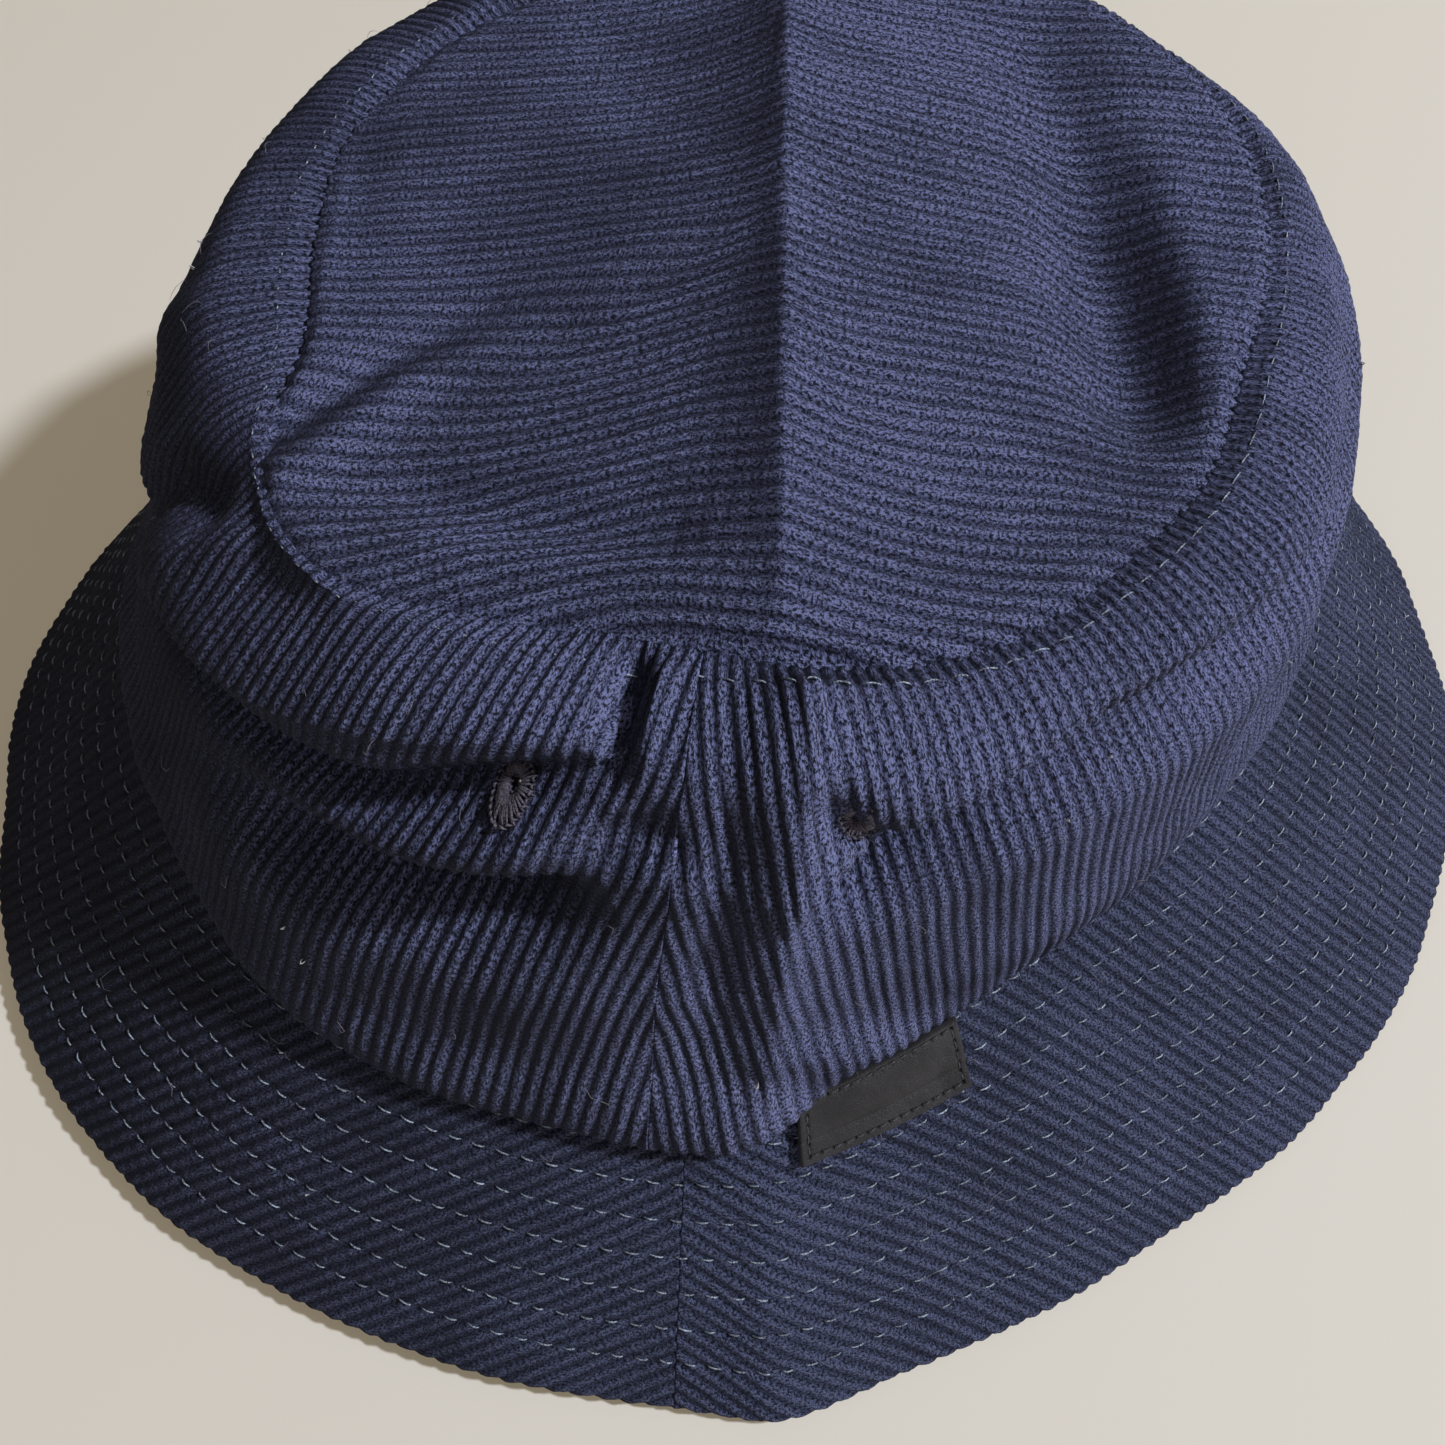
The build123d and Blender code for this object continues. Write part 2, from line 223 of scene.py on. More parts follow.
def smooth_through(stations, part):
    """Points (curves, parts, 3) of smooth curves through stations (stations, curves, 3), at parts from 0 to 1."""
    stations = np.asarray(stations)
    steps = np.linalg.norm(np.diff(stations, axis=0), axis=2).mean(axis=1)
    knots = np.concatenate([[0], np.cumsum(steps)]) / steps.sum()
    slopes = np.gradient(stations, knots, axis=0)
    index = np.clip(np.searchsorted(knots, part) - 1, 0, len(knots) - 2)
    span = (knots[index + 1] - knots[index])[:, None, None]
    local = ((part - knots[index]) / (knots[index + 1] - knots[index]))[:, None, None]
    curve = smooth_between(local, span, stations[index], stations[index + 1], slopes[index], slopes[index + 1])
    return curve.transpose(1, 0, 2)


def grid_normals(points):
    """Unit normals of a grid of points."""
    along = np.gradient(points, axis=0)
    across = np.gradient(points, axis=1)
    normals = np.cross(along, across)
    return normals / np.maximum(np.linalg.norm(normals, axis=2, keepdims=True), 1e-9)


def upward_normals(points):
    """Unit normals of a grid of points, all facing up."""
    normals = grid_normals(points)
    return normals * np.sign(normals[..., 2:3])


def smooth_step(value, low, high):
    """Smooth rise from 0 at low to 1 at high."""
    part = np.clip((value - low) / (high - low), 0, 1)
    return part * part * (3 - 2 * part)


def near_line(across, along, line):
    """Distance to a line of (across, along, strength), the strength at its nearest point, and the side, 1 or -1."""
    best = np.full(across.shape, np.inf)
    strength = np.zeros(across.shape)
    side = np.ones(across.shape)
    for (x0, y0, s0), (x1, y1, s1) in zip(line, line[1:]):
        run_x, run_y = x1 - x0, y1 - y0
        part = np.clip(((across - x0) * run_x + (along - y0) * run_y) / (run_x ** 2 + run_y ** 2), 0, 1)
        off_x, off_y = across - x0 - part * run_x, along - y0 - part * run_y
        distance = np.hypot(off_x, off_y)
        nearer = distance < best
        best = np.where(nearer, distance, best)
        strength = np.where(nearer, s0 + part * (s1 - s0), strength)
        side = np.where(nearer, np.sign(run_x * off_y - run_y * off_x), side)
    return best, strength, side


def fold_shape(across, along, line, above, below):
    """Height, 0 to 1, of a rounded fold along a line."""
    distance, strength, side = near_line(across, along, line)
    return strength * np.exp(-(distance / np.where(side > 0, above, below)) ** 2)


def crease_shape(across, along, line, width):
    """Height of a sharp pressed crease along a line."""
    distance, strength, _ = near_line(across, along, line)
    return strength * np.exp(-(np.sqrt(distance ** 2 + 0.8) - 0.9) / width)


def wave_noise(x, y, scale, seed, octaves=3):
    """Smooth repeatable noise, about -1 to 1, from a sum of turned sine waves."""
    total = np.zeros(np.broadcast(x, y).shape)
    generator = np.random.default_rng(seed)
    weight = 1.0
    norm = 0.0
    for octave in range(octaves):
        for _ in range(4):
            direction = generator.uniform(0, TAU)
            phase = generator.uniform(0, TAU)
            wave = generator.uniform(0.7, 1.3) * TAU / scale * 2 ** octave
            total = total + weight * np.sin(wave * (np.cos(direction) * x + np.sin(direction) * y) + phase)
            norm += weight * weight / 2
        weight *= 0.55
    return total / math.sqrt(norm) / 1.6


def cloth_ridge(across, along):
    """Height of the cords over their valleys, at places on the flat cloth."""
    wander = 0.05 * wave_noise(across, along, 21, 31, octaves=2)
    cord = np.sqrt(0.5 + 0.5 * np.cos(TAU * (across / wale_pitch + wander)))
    worn = (1 + 0.14 * wave_noise(across * 1.3, along * 0.5, 9, 32)
            + 0.16 * wave_noise(across * 2.2, along, 2.6, 33, octaves=2))
    return wale_relief * cord * np.clip(worn, 0.4, 1.5)


# ---------------------------------------------------------------- meshes


def mesh_object(name, points, faces, uv=None):
    """Mesh object from points in millimetres, quads or triangles, and texture places for each point."""
    mesh = bpy.data.meshes.new(name)
    points = np.asarray(points, np.float32).reshape(-1, 3) * MM
    faces = np.asarray(faces, np.int32)
    corners = faces.shape[1]
    mesh.vertices.add(len(points))
    mesh.vertices.foreach_set("co", points.ravel())
    mesh.loops.add(faces.size)
    mesh.loops.foreach_set("vertex_index", faces.ravel())
    mesh.polygons.add(len(faces))
    mesh.polygons.foreach_set("loop_start", np.arange(0, faces.size, corners, dtype=np.int32))
    mesh.polygons.foreach_set("loop_total", np.full(len(faces), corners, dtype=np.int32))
    mesh.polygons.foreach_set("use_smooth", np.ones(len(faces), dtype=bool))
    if uv is not None:
        layer = mesh.uv_layers.new(name="cloth")
        layer.data.foreach_set("uv", np.asarray(uv, np.float32).reshape(-1, 2)[faces.ravel()].ravel())
    mesh.update(calc_edges=True)
    mesh.validate()
    thing = bpy.data.objects.new(name, mesh)
    bpy.context.collection.objects.link(thing)
    return thing


def grid_faces(rows, columns, start=0, flip=False):
    """Quads of a grid of points whose columns run fastest."""
    row = np.arange(rows - 1)[:, None]
    column = np.arange(columns - 1)[None, :]
    corner = start + row * columns + column
    quads = np.stack([corner, corner + 1, corner + columns + 1, corner + columns], axis=-1).reshape(-1, 4)
    return quads[:, ::-1] if flip else quads


def border_loop(rows, columns):
    """Point numbers round the border of a grid."""
    first = np.arange(columns)
    last = np.arange(1, rows) * columns + columns - 1
    back = (rows - 1) * columns + np.arange(columns - 2, -1, -1)
    home = np.arange(rows - 2, 0, -1) * columns
    return np.concatenate([first, last, back, home])


def closed_sheet(name, face, back, uv):
    """Closed thin piece from its face grid and back grid of points, with texture places for each point."""
    rows, columns = face.shape[:2]
    count = rows * columns
    loop = border_loop(rows, columns)
    following = np.roll(loop, -1)
    rim = np.stack([loop, loop + count, following + count, following], axis=-1)
    faces = np.concatenate([grid_faces(rows, columns), grid_faces(rows, columns, count, flip=True), rim])
    points = np.concatenate([face.reshape(-1, 3), back.reshape(-1, 3)])
    places = np.concatenate([uv.reshape(-1, 2), uv.reshape(-1, 2)])
    return mesh_object(name, points, faces, places)


# ---------------------------------------------------------------- shape of the crown


def crown_centre(share):
    """Middle of the crown, where it has this share of the tip's shift."""
    return np.array([share * tip_shift, 0.0, 0.0])


def seam_level(azimuth):
    """Height of the tip seam."""
    return tip_height + smooth_periodic(seam_lift_keys, azimuth)


def base_level(azimuth):
    """Height of the seam between crown and brim."""
    return base_height + smooth_periodic(base_lift_keys, azimuth)


def compass(azimuth):
    """Level unit vectors for azimuths in degrees."""
    turn = np.radians(azimuth)
    return np.stack([np.cos(turn), np.sin(turn), np.zeros_like(turn)], axis=-1)


def band_rest(azimuth, part):
    """Crown wall before its folds: azimuths (degrees) by parts (0 base, 1 tip seam)."""
    direction = compass(azimuth)
    base = direction * smooth_periodic(base_keys, azimuth)[:, None]
    tuck = base - direction * tuck_inwards
    tuck[:, 2] = base_level(azimuth) - tuck_drop
    base[:, 2] = base_level(azimuth) + base_rise
    rings = [tuck, base]
    for long_radius, short_radius, level, share in band_stations:
        lean = smooth_periodic(wall_keys, azimuth) * smooth_step(level, 50, 80)
        ring = direction * (oval_radius(long_radius, short_radius, azimuth) + lean)[:, None] + crown_centre(share)
        ring[:, 2] = level + smooth_step(level, 90, 112) * (seam_level(azimuth) - tip_height)
        rings.append(ring)
    seam = direction * smooth_periodic(seam_keys, azimuth)[:, None] + crown_centre(1)
    seam[:, 2] = seam_level(azimuth)
    rings.append(seam)
    return smooth_through(np.array(rings), part)


def fold_frame(line):
    """A fold line of (azimuth, height, strength) in cloth distances: round the crown and up its wall."""
    return [((azimuth if azimuth < 150 else azimuth - 360) * wall_scale, wall_part(level) * wall_climb, strength)
            for azimuth, level, strength in line]


# Cloth per degree round the wall, up the wall, and how far up the cloth some heights are.
wall_scale = math.radians(1) * wall_radius
wall_climb = 77.0
fold_heights = [46, 60, 76, 91, 103, 110.5, 114]
fold_climbs = [0, 14.5, 31, 46.5, 59.5, 69.5, 77]
eyelet_places = {"right_rear": (-107.4, eyelet_level + 4), "right_front": (-78.8, eyelet_level + 7),
                 "left_front": (77.0, eyelet_level), "left_rear": (103.0, eyelet_level)}


def wall_part(level):
    """Part of the way up the cloth of the wall at a height."""
    return float(np.interp(level, fold_heights, fold_climbs)) / wall_climb


def eyelet_dimples(azimuth, part):
    """Small dimples pressed into the wall at the vent eyelets."""
    depth = np.zeros((len(azimuth), len(part)))
    for middle, level in eyelet_places.values():
        across = ((np.asarray(azimuth) - middle + 180) % 360 - 180)[:, None] * wall_scale
        along = (part[None, :] - wall_part(level)) * wall_climb
        depth += 1.3 * np.exp(-((across ** 2 + along ** 2) / 0.85 ** 2) ** 2)
    return depth


def band_points(azimuth, part):
    """Crown wall with its folds."""
    points = band_rest(azimuth, part)
    normals = grid_normals(points)
    wrapped = (np.asarray(azimuth) + 210) % 360 - 210
    across = wrapped[:, None] * wall_scale + np.zeros((1, len(part)))
    along = np.zeros((len(azimuth), 1)) + part[None, :] * wall_climb
    push = np.zeros(across.shape)
    drop = np.zeros(across.shape)
    for line, out, down, above, below in band_folds:
        shape = fold_shape(across, along, fold_frame(line), above, below)
        push += out * shape
        drop += down * shape
    for line, out, width in wall_creases:
        push += out * crease_shape(across, along, fold_frame(line), width)
    x, y = points[..., 0], points[..., 1]
    push += 0.5 * wave_noise(x + 0.6 * points[..., 2], y - 0.8 * points[..., 2], 46, 5, octaves=1)
    push += 0.14 * wave_noise(x - 0.9 * points[..., 2], y + 0.7 * points[..., 2], 17, 6, octaves=1)
    push -= eyelet_dimples(azimuth, part)
    ends = smooth_step(part, 0.0, 0.03)[None, :] * (1 - smooth_step(part, 0.96, 1.0))[None, :]
    seam_dip = seam_dip_depth * np.exp(-((1 - part) * wall_climb / seam_dip_width) ** 2)[None, :]
    points = points + normals * (push * ends - seam_dip)[..., None]
    points[..., 2] -= drop * ends
    return points


# ---------------------------------------------------------------- cloth pieces


def half_azimuths(seams, middle, columns):
    """Azimuths across one half-panel, from seam to seam, counter-clockwise."""
    if middle == 0:
        return np.linspace(seams[0], seams[1], columns)
    return np.linspace(seams[1], seams[0] + 360, columns)


def flat_places(azimuth, middle, sector, reach):
    """Places of a half-panel on its flat cut cloth, across and along the cords."""
    turn = np.radians(azimuth - middle)[:, None] * sector
    return reach * np.sin(turn), reach * np.cos(turn)


def make_side_panel(name, middle):
    """Half of the crown's side wall, from side seam to side seam."""
    columns, rows = 1300, 130
    azimuth = half_azimuths(band_seams, middle, columns)
    part = np.linspace(0, 1, rows)
    points = band_points(azimuth, part)
    reach = base_radius / band_sector - part[None, :] * panel_slant
    flat_across, flat_along = flat_places(azimuth, middle, band_sector, reach)
    flat_across = flat_across / band_pitch_share
    normals = grid_normals(points)
    ridge = cloth_ridge(flat_across, flat_along)
    face = points + normals * (ridge[..., None] - wale_relief)
    back = points - normals * (cloth_thickness + wale_relief)
    uv = np.stack([flat_across, flat_along], axis=-1)
    return closed_sheet(name, face, back, uv)


# Rows of brim stitching down the slant, and the channel that each presses into the pile.
row_first = 2.6
row_pitch = 6.7
row_count = 8
row_channel = 0.24
brim_slant = 59.5
edge_radius = brim_thickness / 2


def brim_points(azimuth, part):
    """Upper surface of the brim and its normals: azimuths (degrees) by parts (0 crown seam, 1 rim)."""
    direction = compass(azimuth)
    inner = direction * (smooth_periodic(base_keys, azimuth) - brim_tuck)[:, None]
    inner[:, 2] = base_level(azimuth) + brim_tuck_rise
    outer = direction * smooth_periodic(rim_keys, azimuth)[:, None]
    outer[:, 2] = smooth_periodic(rim_lift_keys, azimuth) + rim_rise
    points = inner[:, None, :] + (outer - inner)[:, None, :] * part[None, :, None]
    normals = upward_normals(points)
    freedom = np.sin(part * math.pi * 0.5)[None, :]
    x, y = points[..., 0], points[..., 1]
    push = freedom * (0.8 * wave_noise(x, y, 95, 11, octaves=2) + 0.16 * wave_noise(x, y, 26, 12, octaves=1))
    wrapped = (np.asarray(azimuth) + 180) % 360 - 180
    for line_azimuth, height in brim_creases:
        across = np.abs(wrapped - line_azimuth)[:, None] * math.radians(1) * crease_radius
        push += height * freedom * np.exp(-np.sqrt(across ** 2 + 2) / 9)
    slant = part[None, :] * brim_slant
    for row in range(row_count):
        push = push - row_channel * np.exp(-((slant - row_first - row * row_pitch) / 0.8) ** 2)
    return points + normals * push[..., None], normals


def edge_parts(rows):
    """Parts from crown seam to rim, close together where the cloth turns round the edge."""
    last = edge_radius / brim_slant
    turned = 1 - last * (1 - np.sin(np.linspace(0, math.pi / 2, 12)))
    return np.concatenate([np.linspace(0, 1 - last, rows, endpoint=False), turned])


def make_brim_panel(name, middle, under=False):
    """Half of the brim's upper or under cloth, from side seam to side seam and round its turned edge."""
    columns = 1500
    azimuth = half_azimuths(brim_seams, middle, columns)
    part = edge_parts(104)
    points, normals = brim_points(azimuth, part)
    reach = base_radius / brim_sector + part[None, :] * brim_slant
    flat_across, flat_along = flat_places(azimuth, middle, brim_sector, reach)
    outwards = np.gradient(points, axis=1)
    outwards = outwards / np.linalg.norm(outwards, axis=2, keepdims=True)
    to_edge = np.clip(1 - (1 - part) * brim_slant / edge_radius, 0, 1)[None, :, None]
    edge_drop = edge_radius * (1 - np.sqrt(1 - to_edge ** 2))
    ridge = cloth_ridge(flat_across, flat_along)[..., None] - wale_relief
    side = -1 if under else 1
    base = points - normals * (brim_thickness if under else 0)
    face = base + side * normals * (ridge * (1 - to_edge) - edge_drop) + outwards * ridge * to_edge * 1.4
    depth = np.maximum(cloth_thickness + wale_relief, edge_drop + 0.15)
    back = base - side * normals * depth - outwards * to_edge * 0.6
    uv = np.stack([flat_across, flat_along], axis=-1)
    if under:
        return closed_sheet(name, face[::-1], back[::-1], uv[::-1])
    return closed_sheet(name, face, back, uv)


def tip_points(unit_x, unit_y):
    """Surface of the crown tip over the unit disc."""
    reach = np.hypot(unit_x, unit_y)
    azimuth = np.degrees(np.arctan2(unit_y, unit_x))
    radius = smooth_periodic(seam_keys, azimuth) * reach
    x = crown_centre(1)[0] + radius * np.cos(np.radians(azimuth))
    y = radius * np.sin(np.radians(azimuth))
    crease_x = tip_crease_middle - tip_crease_lean * y
    ridge = np.exp(-np.abs(x - crease_x) / 38)
    dome = (crown_height - tip_height) * (1 - reach ** 2.4) * (0.35 + 0.65 * ridge)
    z = tip_height + (seam_level(azimuth) - tip_height) * reach ** 3 + dome
    away = np.sqrt((x - crease_x) ** 2 + 0.5) - 0.7
    push = sum(height * np.exp(-away / width) for height, width in tip_ridges) - tip_sink
    push = push * (1 - reach ** 6)
    for line, out, down, above, below in tip_folds:
        push = push + out * fold_shape(x, y, line, above, below)
    waves = 0.5 * wave_noise(x, y, 55, 21, octaves=1) + 0.10 * wave_noise(x, y, 16, 22, octaves=1)
    push = push + waves * (1 - reach ** 4)
    seam_dip = seam_dip_depth * np.exp(-((1 - reach) * 72 / seam_dip_width) ** 2)
    return np.stack([x, y, z + push * (1 - smooth_step(reach, 0.97, 1.0)) - seam_dip], axis=-1)


def make_tip(name):
    """Crown tip: one oval piece, cords running from -X to +X."""
    rows, columns = 720, 220
    slant = np.linspace(-math.pi / 2, math.pi / 2, rows)[:, None] * 0.997
    across = np.linspace(-1, 1, columns)[None, :]
    unit_x = np.cos(slant) * across
    unit_y = np.sin(slant) * np.ones_like(across)
    points = tip_points(unit_x, unit_y)
    flat = unit_y * tip_radius
    normals = upward_normals(points)
    ridge = cloth_ridge(flat, unit_x * tip_radius)
    face = points + normals * (ridge[..., None] - wale_relief)
    back = points - normals * (cloth_thickness + wale_relief)
    uv = np.stack([flat, unit_x * tip_radius], axis=-1)
    return closed_sheet(name, face[:, ::-1], back[:, ::-1], uv[:, ::-1])


# ---------------------------------------------------------------- thread


def stitches(path, normals, length, gap, radius, bed=0.0, tilt=0.0, seed=0, closed=True, wobble=0.0):
    """Points and faces of a row of single stitches along a path on the cloth, whose normals face outwards."""
    if closed:
        path = np.concatenate([path, path[:1]])
        normals = np.concatenate([normals, normals[:1]])
    places = np.concatenate([[0], np.cumsum(np.linalg.norm(np.diff(path, axis=0), axis=1))])
    count = max(int(places[-1] / (length + gap)), 1)
    pitch = places[-1] / count
    generator = np.random.default_rng(seed)
    long = (pitch - gap) * (1 + 0.12 * generator.uniform(-1, 1, count))
    start = np.arange(count) * pitch + 0.5 * (pitch - long)
    part = np.array([0.0, 0.08, 0.22, 0.5, 0.78, 0.92, 1.0])
    along = start[:, None] + part[None, :] * long[:, None]

    def follow(values):
        return np.stack([np.interp(along, places, values[:, axis]) for axis in range(3)], axis=-1)

    middle, up = follow(path), follow(normals)
    up /= np.linalg.norm(up, axis=2, keepdims=True)
    ahead = np.gradient(middle, axis=1)
    ahead /= np.linalg.norm(ahead, axis=2, keepdims=True)
    aside = np.cross(ahead, up)
    turned = tilt + wobble * generator.uniform(-1, 1, count)
    height = bed + radius * 0.9 * np.sin(part * math.pi) ** 0.5 - 0.5 * (1 - np.sin(part * math.pi) ** 0.5)
    middle = middle + up * height[None, :, None]
    middle = middle + aside * ((part - 0.5)[None, :] * long[:, None] * turned[:, None])[..., None]
    girth = radius * np.array([0.35, 0.75, 1.0, 1.0, 1.0, 0.75, 0.35])
    turn = np.linspace(0, TAU, 6, endpoint=False)
    spokes = (up[:, :, None, :] * np.sin(turn)[None, None, :, None]
              + aside[:, :, None, :] * np.cos(turn)[None, None, :, None])
    rings = middle[:, :, None, :] + girth[None, :, None, None] * spokes
    step = np.arange(6)
    following = (step + 1) % 6
    tube = [np.stack([step, following, 6 + following, 6 + step], axis=-1) + ring * 6 for ring in range(len(part) - 1)]
    last = 6 * (len(part) - 1)
    caps = np.array([[3, 2, 1, 0], [5, 4, 3, 0],
                     [last, last + 1, last + 2, last + 3], [last, last + 3, last + 4, last + 5]])
    one = np.concatenate(tube + [caps])
    faces = (one[None] + (np.arange(count) * 6 * len(part))[:, None, None]).reshape(-1, 4)
    return rings.reshape(-1, 3), faces


def joined(parts):
    """One set of points and faces from several."""
    points = np.concatenate([part[0] for part in parts])
    starts = np.cumsum([0] + [len(part[0]) for part in parts[:-1]])
    return points, np.concatenate([faces + start for (_, faces), start in zip(parts, starts)])


def row_on_band(part, depth=0.0):
    """Closed path round the wall at one part of its climb, and its outward normals."""
    azimuth = np.linspace(-180, 180, 1800, endpoint=False)
    points = band_points(azimuth, part + np.array([-0.006, 0.0, 0.006]))
    normals = grid_normals(points)[:, 1]
    return points[:, 1] - normals * depth, normals


def row_on_brim(row, under=False):
    """Closed path of a row round the brim, and its outward normals."""
    azimuth = np.linspace(-180, 180, 1800, endpoint=False)
    part = (row_first + row * row_pitch) / brim_slant
    points, normals = brim_points(azimuth, part + np.array([-0.006, 0.0, 0.006]))
    if under:
        return points[:, 1] - normals[:, 1] * (brim_thickness - 0.25), -normals[:, 1]
    return points[:, 1], normals[:, 1]


class Patch:
    """Part of a surface round a middle, with places on it in millimetres across and along."""

    def __init__(self, surface, middle, part, scale, climb, half, count=121):
        steps = np.linspace(-half, half, count)
        self.last = count - 1
        points = surface(middle + steps / scale, part + steps / climb)
        points = points[0] if isinstance(points, tuple) else points
        normals = grid_normals(points)
        away = points * (1, 1, 0) + (0, 0, 60)
        self.points, self.half = points, half
        self.normals = normals * np.sign((normals * away).sum(axis=2, keepdims=True))

    def at(self, across, along, height):
        """Points at places across and along, lifted off the surface by height."""
        where = [(np.clip(value, -self.half, self.half) + self.half) / (2 * self.half) * self.last
                 for value in (across, along)]
        index = [np.minimum(value.astype(int), self.last - 1) for value in where]
        share = [(value - whole)[..., None] for value, whole in zip(where, index)]
        result = []
        for grid in (self.points, self.normals):
            low = grid[index[0], index[1]] * (1 - share[0]) + grid[index[0] + 1, index[1]] * share[0]
            high = grid[index[0], index[1] + 1] * (1 - share[0]) + grid[index[0] + 1, index[1] + 1] * share[0]
            result.append(low * (1 - share[1]) + high * share[1])
        return result[0] + result[1] * height[..., None]

    def row(self, across, along, height):
        """Path of a row of stitches over the surface, and the directions away from it."""
        path = self.at(across, along, height)
        return path, self.at(across, along, height + 1) - path


def make_eyelet(name, middle, level, seed):
    """Embroidered vent eyelet: satin stitches laid round a small hole."""
    patch = Patch(band_points, middle, wall_part(level), wall_scale, wall_climb, 6.0)
    generator = np.random.default_rng(seed)
    parts = []
    count = 46
    for number in range(count):
        turn = TAU * number / count + generator.uniform(-0.03, 0.03)
        inner, outer = 0.75 + generator.uniform(-0.1, 0.1), 2.75 + generator.uniform(-0.35, 0.3)
        reach = np.linspace(inner, outer, 9)
        arch = 0.5 * np.sin(np.linspace(0.12, 0.98, 9) * math.pi) ** 0.6 - 0.3
        swing = turn + 0.10 * (reach - inner) / outer
        row = patch.row(reach * np.cos(swing), reach * np.sin(swing), arch)
        parts.append(stitches(*row, 3.0, 0.0, 0.17, bed=0.12, closed=False, seed=number))
    rim_turn = np.linspace(0, TAU, 80, endpoint=False)
    for reach, height in ((0.8, 0.02), (2.75, -0.06)):
        row = patch.row(reach * np.cos(rim_turn), reach * np.sin(rim_turn), np.full(80, height))
        parts.append(stitches(*row, 0.8, 0.12, 0.19, bed=0.16, tilt=0.35, seed=seed))
    return mesh_object(name, *joined(parts))


def make_lint(name, count, length, girth, seed):
    """Fine loose hairs or flecks that cling to the pile, by turns on the wall and on the brim."""
    generator = np.random.default_rng(seed)
    parts = []
    for number in range(count):
        middle = generator.uniform(-180, 180)
        if number % 2:
            scale = math.radians(1) * brim_middle_radius
            patch = Patch(brim_points, middle, generator.uniform(0.15, 0.85), scale, brim_slant, 6.0, 31)
        else:
            patch = Patch(band_points, middle, generator.uniform(0.12, 0.86), wall_scale, wall_climb, 6.0, 31)
        long = length * generator.uniform(0.4, 1.3)
        step = np.linspace(0, 1, 24)
        heading = generator.uniform(0, TAU) + generator.uniform(-2.5, 2.5) * step
        heading = heading + np.sin(step * generator.uniform(3, 9))
        x, y = np.cumsum(np.cos(heading)) * long / 24, np.cumsum(np.sin(heading)) * long / 24
        x, y = x - x.mean(), y - y.mean()
        rise = 0.06 + 0.35 * np.sin(step * math.pi) * generator.uniform(0, 1)
        parts.append(stitches(*patch.row(x, y, rise), long, 0.0, girth, bed=0.25, closed=False, seed=number))
    return mesh_object(name, *joined(parts))


label_middle = -73.2
label_down = 7.6
label_half_width = 13.5
label_half_height = 5.75
label_thickness = 1.1
label_inset = 1.35
label_bed = 0.45
label_pressed = 0.25
label_line_depth = 0.16


def label_patch():
    """The place of the label on the brim."""
    scale = math.radians(1) * label_radius
    return Patch(brim_points, label_middle, label_down / brim_slant, scale, brim_slant, 15.0)


def label_curl(x, y):
    """How far the label lifts off the brim at its free corner and edge."""
    return 0.5 * np.clip((-x - 8) / 5, 0, 1) ** 2 + 0.35 * np.clip((y - 3) / 3, 0, 1) ** 2


def make_label(name):
    """Leather label: a bent slab with a rounded edge, a pressed line inside it and stitch holes."""
    patch = label_patch()
    across, along = np.linspace(-1, 1, 260)[:, None], np.linspace(-1, 1, 120)[None, :]
    across, along = [np.sin(value * math.pi / 2) * 0.35 + value * 0.65 for value in (across, along)]
    x, y = across * label_half_width + 0 * along, along * label_half_height + 0 * across
    inside = np.minimum(label_half_width - np.abs(x), label_half_height - np.abs(y))
    edge = np.sqrt(np.clip(1 - (1 - np.clip(inside / 0.42, 0, 1)) ** 2, 0, 1))
    line = np.exp(-((inside - label_inset) / 0.30) ** 2)
    holes = np.zeros_like(x)
    for hole_x, hole_y in label_holes():
        holes += np.exp(-((x - hole_x) ** 2 + (y - hole_y) ** 2) / 0.20 ** 2)
    height = label_bed + edge * (label_thickness - label_pressed) - label_line_depth * line
    height -= 0.45 * np.clip(holes, 0, 1)
    height += 0.05 * wave_noise(x, y, 7, 71) * edge + 0.10 * np.clip(1 - inside / 5, 0, 1) * edge
    curl = label_curl(x, y)
    face = patch.at(x, y, height + curl)
    back = patch.at(x, y, np.full_like(x, 0.05) + 0.15 * (1 - edge) + curl)
    uv = np.stack([x, y], axis=-1)
    return closed_sheet(name, face, back, uv)


def label_holes():
    """Places of the stitch holes round the label."""
    half_x, half_y = label_half_width - label_inset, label_half_height - label_inset
    for count, x, y, step_x, step_y in ((14, -half_x, half_y, 1, 0), (14, -half_x, -half_y, 1, 0),
                                        (5, -half_x, -half_y, 0, 1), (5, half_x, -half_y, 0, 1)):
        for number in range(count + 1):
            yield x + step_x * 2 * half_x * number / count, y + step_y * 2 * half_y * number / count


def make_label_stitches(name):
    """Dark stitches round the label, between its holes."""
    patch = label_patch()
    half_x, half_y = label_half_width - label_inset, label_half_height - label_inset
    corners = [(-half_x, -half_y), (half_x, -half_y), (half_x, half_y), (-half_x, half_y), (-half_x, -half_y)]
    parts = []
    for (x0, y0), (x1, y1), count in zip(corners, corners[1:], (14, 5, 14, 5)):
        part = np.linspace(0, 1, 80)
        x, y = x0 + (x1 - x0) * part, y0 + (y1 - y0) * part
        height = label_bed + label_thickness - label_pressed - label_line_depth
        height = height + 0.05 * wave_noise(x, y, 7, 71) + label_curl(x, y)
        step = math.hypot(x1 - x0, y1 - y0) / count
        row = patch.row(x, y, height)
        parts.append(stitches(*row, step - 0.34, 0.34, 0.14, bed=0.10, closed=False, seed=count))
    return mesh_object(name, *joined(parts))


# ---------------------------------------------------------------- inside of the hat


